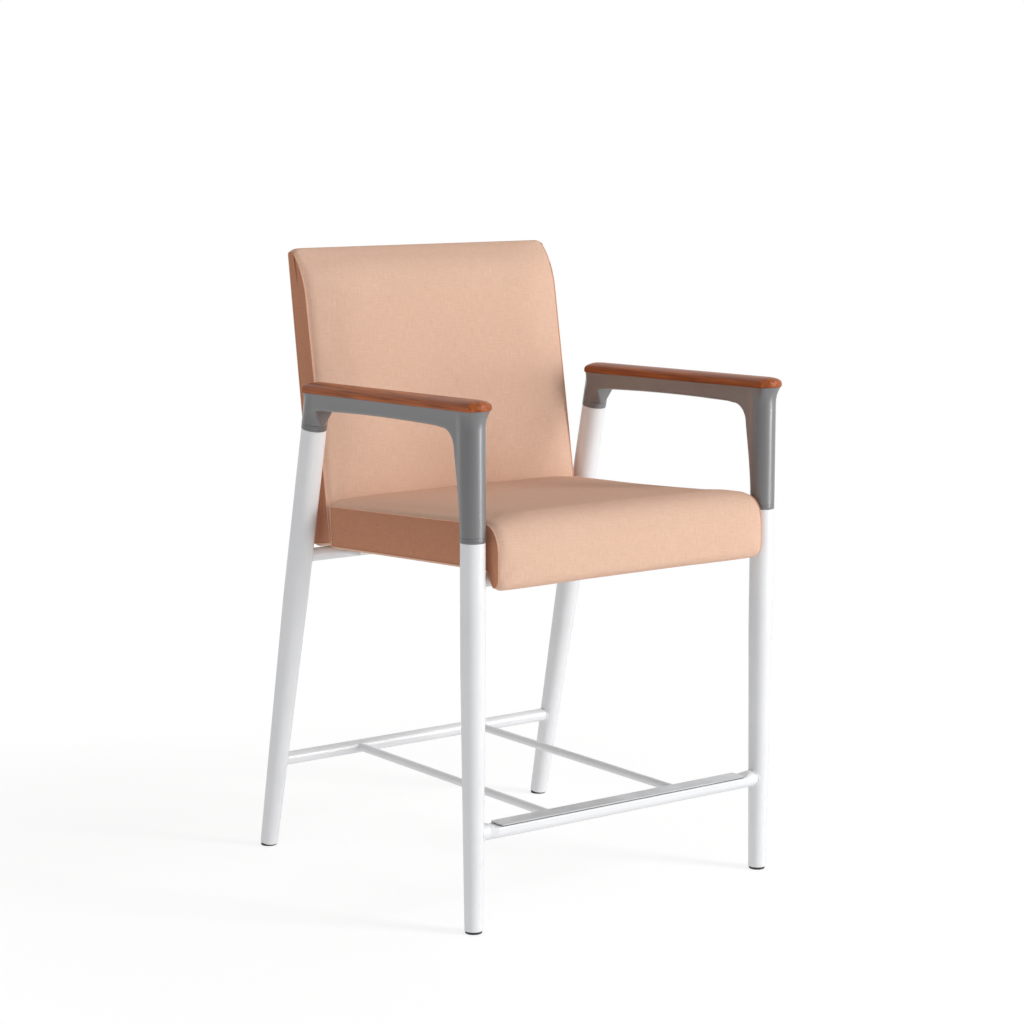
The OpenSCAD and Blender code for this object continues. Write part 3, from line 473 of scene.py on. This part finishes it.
def back_side():
    """Side view of the back: its rear face at zero depth, its front at negative depths."""
    heel_r, rear_r, toe_r = 9, 10, 8
    turn = BACK_TAPER + BACK_ROLL
    roll_z = (BACK_H - BACK_EDGE_R + BACK_ROLL_R * math.sin(BACK_TAPER)
              - (BACK_ROLL_R - BACK_EDGE_R) * math.sin(turn))
    centre = np.array([roll_z * math.tan(BACK_TAPER) - BACK_T + BACK_ROLL_R * math.cos(BACK_TAPER),
                       roll_z - BACK_ROLL_R * math.sin(BACK_TAPER)])
    crest = centre + (BACK_ROLL_R - BACK_EDGE_R) * np.array([-math.cos(turn), math.sin(turn)])
    top = math.degrees(turn)
    return np.concatenate([
        arc([-heel_r, heel_r], heel_r, -90, 0, 8),
        arc([-rear_r, BACK_H - rear_r], rear_r, 0, 90, 8),
        arc(crest, BACK_EDGE_R, 90, 180 - top, 8),
        arc(centre, BACK_ROLL_R, 180 - top, 180 - math.degrees(BACK_TAPER)),
        arc([toe_r - BACK_T, toe_r], toe_r, 180, 270, 8),
    ])


def side_fold(depth, reach=11.0):
    """How far a side panel has come out of its seam, at a depth inside it."""
    return 1 - (1 - np.clip(depth / reach, 0, 1)) ** 2.2


def padded_mesh(outline, half_w, swell, draw, core):
    """Boxed cushion from a closed side view: a band carried across the width, with a crown
    and soft shoulders, sewn to two side panels. core is the low and high end of the
    segment that the side panels close on. Returns points, faces, the faces' cloth places,
    the number of points in the outline and the number of outlines across the width."""
    n = len(outline)
    normal = outward(outline)
    edge = np.array([0, 0.8, 1.7, 2.9, 4.4, 6.5, 9.5, 13.5, 19, 26, 34, 43, 53, 64, 76])
    inner = np.linspace(edge[-1], half_w, 18)[1:]
    across = np.concatenate([edge, inner]) - half_w
    across = np.concatenate([across, -across[-2::-1]])
    shoulder, steepness, roll = 12.0, 0.84, 100.0
    points = []
    for x in across:
        inside = half_w - abs(x)
        q = np.clip(1 - inside / shoulder, 0, 1) * steepness
        crown = 0.85 * (1 - max(0, 1 - inside / roll) ** 2.5) + 0.15 * (1 - (x / half_w) ** 2)
        lift = swell * crown - shoulder * (1 - math.sqrt(1 - q * q))
        place = outline + normal * lift[:, None]
        points.append(np.column_stack([x * (1 - draw / half_w), place]))
    steps = np.linalg.norm(np.roll(outline, -1, 0) - outline, axis=1)
    length = np.concatenate([[0], np.cumsum(steps)])
    faces = strip_faces(len(across), n)
    uvs = [[(across[k], length[i]), (across[k], length[i + 1]),
            (across[k + 1], length[i + 1]), (across[k + 1], length[i])]
           for k in range(len(across) - 1) for i in range(n)]
    low, high = np.array(core[0]), np.array(core[1])
    core_l = np.linalg.norm(high - low)
    axis = (high - low) / core_l
    knots = np.linspace(0, core_l, CORE_KNOTS)
    count = len(across) * n
    for sign, seam_ring in ((-1, 0), (1, len(across) - 1)):
        seam = points[seam_ring]
        reach = np.clip((seam[:, 1:] - low) @ axis, 0, core_l)
        towards = low + reach[:, None] * axis - seam[:, 1:]
        before = seam_ring * n
        for share in (0.03, 0.07, 0.13, 0.21, 0.32, 0.48, 0.68, 0.9):
            depth = np.linalg.norm(towards, axis=1) * share
            x = seam[:, 0] + sign * (side_fold(depth) * (SIDE_BULGE + draw * DRAWN_BULGE))
            points.append(np.column_stack([x, seam[:, 1:] + towards * share]))
            for i in range(n):
                j = (i + 1) % n
                face = [before + i, before + j, count + j, count + i]
                faces.append(face if sign > 0 else face[::-1])
            before, count = count, count + n
        # The last ring closes on a row of places along the core
        nearest = np.abs(reach[:, None] - knots).argmin(1)
        core_x = sign * (half_w - draw.max() + SIDE_BULGE + draw.max() * DRAWN_BULGE)
        points.append(np.column_stack([np.full(CORE_KNOTS, core_x),
                                       low + knots[:, None] * axis]))
        for i in range(n):
            j = (i + 1) % n
            corners = [before + i, before + j, count + nearest[j], count + nearest[i]]
            face = corners[:3] if nearest[i] == nearest[j] else corners
            faces.append(face if sign > 0 else face[::-1])
        count += CORE_KNOTS
    points = np.concatenate(points)
    uvs += [[(points[i, 1] + PANEL_CLOTH_Y, points[i, 2]) for i in face]
            for face in faces[len(uvs):]]
    return points, faces, uvs, n, len(across)


def inflated(points, faces, pinned, limits, pressure=4.0, frames=20):
    """Places of a closed mesh after cloth under pressure, each moved by its limit at most."""
    probe = add_mesh("cloth_probe", points, faces)
    group = probe.vertex_groups.new(name="held")
    group.add(np.flatnonzero(pinned).tolist(), 1.0, "REPLACE")
    cloth = probe.modifiers.new("cloth", "CLOTH")
    settings = cloth.settings
    settings.quality = 6
    settings.mass = 0.3
    settings.tension_stiffness = settings.compression_stiffness = 20
    settings.shear_stiffness = 10
    settings.bending_stiffness = 2
    settings.use_pressure = True
    settings.uniform_pressure_force = pressure
    settings.vertex_group_mass = group.name
    settings.effector_weights.gravity = 0
    cloth.collision_settings.use_collision = False
    scene = bpy.context.scene
    for number in range(1, frames + 1):
        scene.frame_set(number)
    result = probe.evaluated_get(bpy.context.evaluated_depsgraph_get()).data
    moved = np.empty(len(points) * 3, np.float32)
    result.vertices.foreach_get("co", moved)
    scene.frame_set(1)
    mesh = probe.data
    bpy.data.objects.remove(probe)
    bpy.data.meshes.remove(mesh)
    shift = moved.reshape(-1, 3).astype(float) / MM - points
    far = np.maximum(np.linalg.norm(shift, axis=1), 1e-6)
    return points + shift * np.minimum(1, limits / far)[:, None]


def add_cushion(name, outline, half_w, swell, draw, core, held, place, materials, replaced):
    """Padded piece with its seams, from its side view to its place on the chair. The cloth
    is pinned at its seams and where held() says."""
    half_w -= SIDE_BULGE
    points, faces, uvs, n, stations = padded_mesh(outline, half_w, swell, draw, core)
    last = (stations - 1) * n
    seams = {"left": slice(0, n), "right": slice(last, last + n)}
    pinned = held(points)
    for ring in seams.values():
        pinned[ring] = True
    band = np.arange(len(points)) < last + n
    points = inflated(points, faces, pinned, np.where(band, BAND_GIVE, PANEL_GIVE))
    piece = add_mesh(name, place(points), faces)
    layer = piece.data.uv_layers.new(name="cloth")
    flat = np.array([uv for face in uvs for uv in face]) * MM
    layer.data.foreach_set("uv", flat.ravel())
    panels = np.arange(len(faces)) >= last
    # The side panels take a darker, more saturated copy of the cloth: painted shade on the
    # cushions' sides
    piece.data.materials.append(materials["fabric"])
    piece.data.materials.append(materials["panel_shade"])
    piece.data.polygons.foreach_set("material_index", panels.astype(np.int32))
    smooth = piece.modifiers.new("smooth", "SUBSURF")
    smooth.levels = smooth.render_levels = 1
    finished(piece, None, replaced=replaced)
    for side, ring in seams.items():
        seam = points[ring]
        path = seam + np.column_stack([np.full(n, SIDES[side] * SEAM_OUT),
                                       outward(seam[:, 1:]) * SEAM_UP])
        finished(add_bead(f"{name}_seam_{side}", place(path), SEAM_R), materials["seam"])


def add_seat(materials):
    """Seat cushion, with a crowned top and its sides drawn in towards the middle."""
    outline = resampled(seat_side())
    normal = outward(outline)
    top_swell, nose_swell, waist = 7.0, 3.0, 2.5
    swell = top_swell * np.maximum(0, normal[:, 1]) + nose_swell * np.maximum(0, -normal[:, 0])
    middle = (2 * outline[:, 0] + SEAT_NOSE - SEAT_END) / (SEAT_END + SEAT_NOSE)
    draw = waist * (1 - middle ** 2)

    def held(points):
        under = (points[:, 2] < 1) & (points[:, 1] > NOSE_ROOT - 1)
        return under | (points[:, 1] > SEAT_END - 6)

    add_cushion(
        "seat_cushion", outline, SEAT_HALF_W, swell, draw,
        ((6, 36), (SEAT_END - 37, 37)), held,
        lambda points: tilted(points, SEAT_TILT, 0, SEAT_BASE_Z),
        materials, ["seat_cover", "seat_foam"])


def add_back(materials):
    """Back cushion, with a front that is crowned and flattens to its lower and upper ends."""
    outline = resampled(back_side())
    normal = outward(outline)
    height = outline[:, 1]
    front_swell, low_reach, top_reach = 18.0, 170, 60
    rise = np.clip(np.minimum(height / low_reach, (BACK_H - height) / top_reach), 0, 1)
    swell = front_swell * np.maximum(0, -normal[:, 0]) * np.sin(math.pi / 2 * rise)

    def held(points):
        return (points[:, 1] > -5) | (points[:, 2] < 4) | (points[:, 2] > BACK_H - 9)

    add_cushion(
        "back_cushion", outline, BACK_HALF_W, swell, np.zeros(len(outline)),
        ((-BACK_T / 2, 31), (-BACK_T / 2 + 4, BACK_H - 60)), held,
        lambda points: tilted(points, BACK_LEAN, BACK_BASE_Y, BACK_BASE_Z),
        materials, ["back_cover", "back_foam"])


# ---- Weld beads


def add_weld(name, x, y, z, radius, material):
    """Bead of filler along a path, its depths measured from the front legs' axes."""
    path = np.column_stack([x, y + FRONT_Y, z])
    finished(add_bead(f"weld_{name}", path, radius), material)


def add_welds(material):
    """Beads where the rails, the stretcher and the footrest meet the legs, and at the rods."""
    tube_bead, rod_bead = 1.5, 1.2
    turn = np.linspace(0, 2 * math.pi, 48, endpoint=False)
    tubes = {"front_rail": FRONT_RAIL, "rear_rail": REAR_RAIL, "stretcher": STRETCHER,
             "footrest": FOOTREST}
    for name, (depth, height, radius) in tubes.items():
        y, z = depth + radius * np.cos(turn), height + radius * np.sin(turn)
        if name in ("front_rail", "footrest"):
            offset = y
            grow = np.clip(z / FRONT_TAPER_H, 0, 1)
            leg_r = FRONT_FOOT_R + (FRONT_TOP_R - FRONT_FOOT_R) * grow
        else:
            offset = (y - REACH) * math.cos(RAKE) + z * math.sin(RAKE)
            along = (REACH - y) * math.sin(RAKE) + z * math.cos(RAKE)
            grow = np.clip(along / REAR_TAPER_L, 0, 1)
            leg_r = REAR_FOOT_R + (REAR_TOP_R - REAR_FOOT_R) * grow
        reach = np.sqrt(np.maximum(leg_r ** 2 - offset ** 2, 0))
        for side, sign in SIDES.items():
            add_weld(f"{name}_{side}", sign * (LEG_X - reach), y, z, tube_bead, material)
    for side, sign in SIDES.items():
        x, rise = sign * ROD_X + ROD_R * np.cos(turn), ROD_R * np.sin(turn)
        rear = STRETCHER[0] - np.sqrt(STRETCHER[2] ** 2 - rise ** 2)
        front = FOOTREST_FLAT_R * np.sqrt(1 - (rise / FOOTREST[2]) ** 2)
        for end, y in (("rear", rear), ("front", front)):
            add_weld(f"rod_{end}_{side}", x, y, STRETCHER[1] + rise, rod_bead, material)


# ---- Materials


def add_node(tree, kind, inputs=None, **settings):
    """Shader node with its settings, and its inputs set to values or linked to sockets."""
    node = tree.nodes.new(f"ShaderNode{kind}")
    for key, value in settings.items():
        setattr(node, key, value)
    for key, value in (inputs or {}).items():
        if isinstance(value, bpy.types.NodeSocket):
            tree.links.new(value, node.inputs[key])
        else:
            node.inputs[key].default_value = value
    return node


def linear(colour):
    """Colour for a shader from its look on screen, as 0 to 255."""
    c = np.array(colour) / 255
    return tuple(np.where(c <= 0.04045, c / 12.92, ((c + 0.055) / 1.055) ** 2.4)) + (1.0,)


def shade(colour, share):
    """A share of a shader colour's light."""
    return tuple(share * c for c in colour[:3]) + (1.0,)


def new_material(name, **sockets):
    """Material whose shader has these plain sockets, with its node tree and shader."""
    material = bpy.data.materials.new(name)
    material.use_nodes = True
    shader = material.node_tree.nodes["Principled BSDF"]
    for key, value in sockets.items():
        shader.inputs[key.replace("_", " ")].default_value = value
    return material, material.node_tree, shader


def object_place(tree):
    return add_node(tree, "TexCoord").outputs["Object"]


def stretched_noise(tree, place, scale, detail=3.0, roughness=0.55):
    """Noise with its own scale along each axis of a place."""
    mapping = add_node(tree, "Mapping", {"Vector": place, "Scale": scale})
    return add_node(tree, "TexNoise", {"Vector": mapping.outputs[0], "Scale": 1.0,
                                       "Detail": detail, "Roughness": roughness}).outputs[0]


def blended(tree, factor, dark, light, low=0.3, high=0.7):
    """Colour between two as a factor goes from low to high."""
    spread = add_node(tree, "MapRange", {"Value": factor, "From Min": low, "From Max": high})
    # The Mix node's sockets 6 and 7 take its colours A and B
    mix = add_node(tree, "Mix", {"Factor": spread.outputs[0], 6: dark, 7: light},
                   data_type="RGBA")
    return mix.outputs[2]


def coloured(tree, shader, *blend):
    """Sets a shader's colour to a blend, given as blended() takes it."""
    tree.links.new(blended(tree, *blend), shader.inputs["Base Color"])


def bumped(tree, shader, height, distance, strength=1.0):
    """Bumps a shader's surface by a height that is a share of a distance in metres."""
    bump = add_node(tree, "Bump", {"Height": height, "Distance": distance, "Strength": strength})
    tree.links.new(bump.outputs[0], shader.inputs["Normal"])


def fabric_material(name, light, dark):
    """Plain weave with slubs both ways, a millimetre to a thread."""
    material, tree, shader = new_material(name, Roughness=0.85, Sheen_Weight=0.12,
                                          Sheen_Roughness=0.5, Sheen_Tint=(0.85, 0.42, 0.28, 1.0),
                                          Specular_IOR_Level=0.06)
    place = add_node(tree, "TexCoord").outputs["UV"]
    weft = stretched_noise(tree, place, (50, 700, 1))
    warp = stretched_noise(tree, place, (700, 50, 1))
    slubs = add_node(tree, "Math", {0: weft, 1: warp}, operation="ADD")
    mottle = stretched_noise(tree, place, (10, 10, 1), detail=2.0)
    both = add_node(tree, "Math", {0: mottle, 1: 0.15, 2: slubs.outputs[0]},
                    operation="MULTIPLY_ADD")
    coloured(tree, shader, both.outputs[0], dark, light, 0.62, 1.52)
    threads = [add_node(tree, "TexWave", {"Vector": place, "Scale": 300.0, "Distortion": 0.6,
                                          "Detail": 1.0}, bands_direction=direction).outputs["Fac"]
               for direction in ("X", "Y")]
    weave = add_node(tree, "Math", {0: threads[0], 1: threads[1]}, operation="MULTIPLY")
    height = add_node(tree, "Math", {0: slubs.outputs[0], 1: 0.8, 2: weave.outputs[0]},
                      operation="MULTIPLY_ADD")
    bumped(tree, shader, height.outputs[0], 0.00025, 0.5)
    return material


def paint_material(name, colour, coat, grain=900.0, depth=0.00001, metal=0.0, gloss=0.5):
    """Powder coat: an even colour with a faint orange peel."""
    material, tree, shader = new_material(name, Roughness=0.34, Coat_Weight=coat,
                                          Coat_Roughness=0.25, Metallic=metal,
                                          Specular_IOR_Level=gloss)
    place = object_place(tree)
    cloud = stretched_noise(tree, place, (9, 9, 9))
    coloured(tree, shader, cloud, shade(colour, 0.95), colour)
    bumped(tree, shader, stretched_noise(tree, place, (grain,) * 3, 2.0), depth)
    return material


def brushed_material(name, colour, scale):
    """Metal brushed along the axis whose scale is low, with faint blotches."""
    material, tree, shader = new_material(name, Metallic=1.0)
    place = object_place(tree)
    lines = stretched_noise(tree, place, scale)
    blotch = stretched_noise(tree, place, (22, 22, 22))
    coloured(tree, shader, lines, shade(colour, 0.8), colour)
    rough = add_node(tree, "MapRange", {"Value": blotch, "From Min": 0.35, "From Max": 0.65,
                                        "To Min": 0.3, "To Max": 0.46})
    tree.links.new(rough.outputs[0], shader.inputs["Roughness"])
    bumped(tree, shader, lines, 0.00003)
    return material


def wood_material(name, light, dark):
    """Wood with fine lengthwise grain along Y under a satin lacquer."""
    material, tree, shader = new_material(name, Roughness=0.42, Coat_Weight=0.08,
                                          Coat_Roughness=0.25, Specular_IOR_Level=0.25)
    place = object_place(tree)
    broad = stretched_noise(tree, place, (70, 5, 70), 3.0)
    fine = stretched_noise(tree, place, (280, 8, 280), 4.0, 0.65)
    pores = stretched_noise(tree, place, (1500, 60, 1500), 2.0)
    ground = blended(tree, broad, dark, light, 0.32, 0.68)
    coloured(tree, shader, fine, shade(dark, 0.6), ground, 0.28, 0.58)
    bumped(tree, shader, pores, 0.00004, 0.6)
    return material


def plastic_material(name, colour, roughness):
    """Moulded plastic with a fine spark-eroded texture."""
    material, tree, shader = new_material(name, Roughness=roughness)
    grain = stretched_noise(tree, object_place(tree), (1400, 1400, 1400), 2.0)
    coloured(tree, shader, grain, shade(colour, 0.75), colour)
    bumped(tree, shader, grain, 0.00005)
    return material


materials = {
    "fabric": fabric_material("peach_weave", linear((234, 199, 177)), linear((217, 176, 152))),
    # The side panels' cloth is the peach weave again, painted darker and more saturated: painted
    # shade for the lesser light on the cushions' sides
    "panel_shade": fabric_material("peach_panel_shade", linear((206, 148, 118)), linear((188, 128, 99))),
    "seam": fabric_material("peach_welt", linear((238, 194, 168)), linear((216, 168, 142))),
    "paint": paint_material("white_powder_coat", linear((238, 239, 241)), coat=0.6),
    "casting": paint_material("grey_cast_coat", linear((118, 118, 120)), coat=1.0,
                              grain=1600.0, depth=0.000008, metal=0.35, gloss=1.0),
    "wood": wood_material("cherry", linear((194, 102, 44)), linear((144, 72, 28))),
    "tread": brushed_material("brushed_tread", linear((205, 206, 208)), (9, 1300, 1300)),
    "screw": brushed_material("zinc_plate", linear((190, 192, 194)), (300, 300, 300)),
    # Black tape under the tread; its black is also painted shade, standing in for the shade of the
    # thin gap along the tread's edges
    "tape": plastic_material("tape_with_gap_shade", linear((34, 34, 36)), 0.7),
    "glide": plastic_material("glide_nylon", linear((58, 60, 62)), 0.55),
    "plywood": wood_material("plywood", linear((214, 184, 140)), linear((192, 158, 112))),
    "dust": plastic_material("spunbond", linear((28, 28, 30)), 0.95),
    "foam": plastic_material("foam", linear((236, 222, 178)), 0.95),
}
SLOT_LOOKS = {
    "paint": "paint", "casting": "casting", "cap_wood": "wood", "screw_steel": "screw",
    "tread_steel": "tread", "tape": "tape", "plywood": "plywood", "foam": "foam",
    "upholstery": "fabric", "dust_cloth": "dust", "insert_plastic": "tape",
    "glide_plastic": "glide",
}
for part in frame["record"]["subparts"]:
    for place in frame["nodes"][part["node"]].material_slots:
        place.material = materials[SLOT_LOOKS[part["material_slot"]]]

add_arms(materials["casting"])
add_caps(materials["wood"])
add_seat(materials)
add_back(materials)
add_welds(materials["paint"])


# ---- Floor, light and camera


def floor_material():
    """White that mixes its shading with a glow: by a share near the chair, where the shadows
    lie, and wholly far out, where the floor meets the white behind it."""
    near, far = 0.7, 2.2
    share_near, level_near, share_unseen = 0.6, 1.26, 0.25
    material, tree, shader = new_material("floor_white", Roughness=0.9,
                                          Base_Color=(0.9, 0.9, 0.9, 1.0))
    path = add_node(tree, "LightPath")
    away = add_node(tree, "VectorMath", {0: object_place(tree)}, operation="LENGTH")
    share = add_node(tree, "MapRange", {"Value": away.outputs["Value"],
                                        "From Min": near, "From Max": far,
                                        "To Min": share_near, "To Max": 1.0},
                     interpolation_type="SMOOTHSTEP").outputs[0]
    seen = add_node(tree, "MapRange", {"Value": path.outputs["Is Camera Ray"],
                                       "To Min": share_unseen, "To Max": share})
    level = add_node(tree, "MapRange", {"Value": share, "From Min": share_near,
                                        "To Min": level_near, "To Max": 1.0})
    glow = add_node(tree, "Emission", {"Strength": level.outputs[0]})
    mix = add_node(tree, "MixShader", {0: seen.outputs[0], 1: shader.outputs[0],
                                       2: glow.outputs[0]})
    tree.links.new(mix.outputs[0], tree.nodes["Material Output"].inputs["Surface"])
    return material


def add_floor():
    """White floor that keeps the shadows. Each quarter of it rides on the glide that stands
    on it, so no pad sinks into it when it is let down."""
    size, top, skirt = 12000, -0.3, -12.0
    middle = FRONT_Y + REACH / 2
    material = floor_material()
    for side, sign in SIDES.items():
        for end, toward in (("front", -1), ("rear", 1)):
            x, y = sign * size, middle + toward * size
            corners = [(0, middle), (x, middle), (x, y), (0, y)]
            points = [(*corner, top) for corner in corners]
            points += [(*corners[i], skirt) for i in (0, 1, 3)]
            panel = add_mesh(f"floor_{end}_{side}", points,
                             [[0, 1, 2, 3], [0, 1, 5, 4], [0, 3, 6, 4]], crease=30)
            panel.data.materials.append(material)
            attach(panel, f"glide_{end}_{side}")


def add_world(level, overhead):
    """White behind everything that is seen or mirrored, and an ambient light that goes from
    level at the horizon to overhead straight up."""
    world = bpy.data.worlds.new("studio")
    world.use_nodes = True
    tree = world.node_tree
    path = add_node(tree, "LightPath")
    place = add_node(tree, "TexCoord").outputs["Generated"]
    height = add_node(tree, "SeparateXYZ", {"Vector": place}).outputs["Z"]
    ambient = add_node(tree, "MapRange", {"Value": height, "To Min": level, "To Max": overhead})
    # The mirrored room is darker at the left, where no wall or lamp stands
    dark_way, darkest = (-0.98, -0.2, 0), 0.4
    toward = add_node(tree, "VectorMath", {0: place, 1: dark_way},
                      operation="DOT_PRODUCT").outputs["Value"]
    room = add_node(tree, "MapRange", {"Value": toward, "From Min": -0.1, "From Max": 0.8,
                                       "To Min": 1.0, "To Max": darkest},
                    interpolation_type="SMOOTHSTEP")
    mirrored = add_node(tree, "MapRange", {"Value": path.outputs["Is Glossy Ray"],
                                           "To Min": ambient.outputs[0],
                                           "To Max": room.outputs[0]})
    seen = add_node(tree, "Math", {0: path.outputs["Is Camera Ray"],
                                   1: path.outputs["Is Transmission Ray"]},
                    operation="MAXIMUM")
    strength = add_node(tree, "MapRange", {"Value": seen.outputs[0],
                                           "To Min": mirrored.outputs[0], "To Max": 1.0})
    background = tree.nodes["Background"]
    background.inputs["Color"].default_value = (1, 1, 1, 1)
    tree.links.new(strength.outputs[0], background.inputs["Strength"])
    bpy.context.scene.world = world


def add_light(name, azimuth, elevation, distance, size, power):
    """Softbox of a width and height in metres that faces the chair's middle. Azimuth 0 is in
    front, 90 at the right."""
    middle_z = 0.6
    lamp = bpy.data.lights.new(name, "AREA")
    lamp.shape = "RECTANGLE"
    lamp.size, lamp.size_y = size
    lamp.energy = power
    piece = add_object(name, lamp)
    a, e = math.radians(azimuth), math.radians(elevation)
    piece.location = (distance * math.cos(e) * math.sin(a),
                      -distance * math.cos(e) * math.cos(a), middle_z + distance * math.sin(e))
    piece.rotation_euler = (math.pi / 2 - e, 0, a)


def add_camera():
    """Camera fitted to the legs' edges and the feet in the photograph."""
    x, y, z = -2440.6, -3012.9, 1206.5
    down, turn = 8.7, -36.48
    lens = bpy.data.cameras.new("camera")
    lens.lens = 89.9
    camera = add_object("camera", lens)
    camera.location = (x * MM, (y + FRONT_Y) * MM, z * MM)
    camera.rotation_euler = (math.radians(90 - down), 0, math.radians(turn))
    bpy.context.scene.camera = camera


add_floor()
add_world(level=0.7, overhead=0.36)
add_light("key", 34, 18, 8.0, (2.0, 5.6), 358)
add_light("edge", 34, -2, 3.0, (0.3, 0.9), 3.5)
add_camera()
bpy.context.scene.view_settings.view_transform = "Standard"
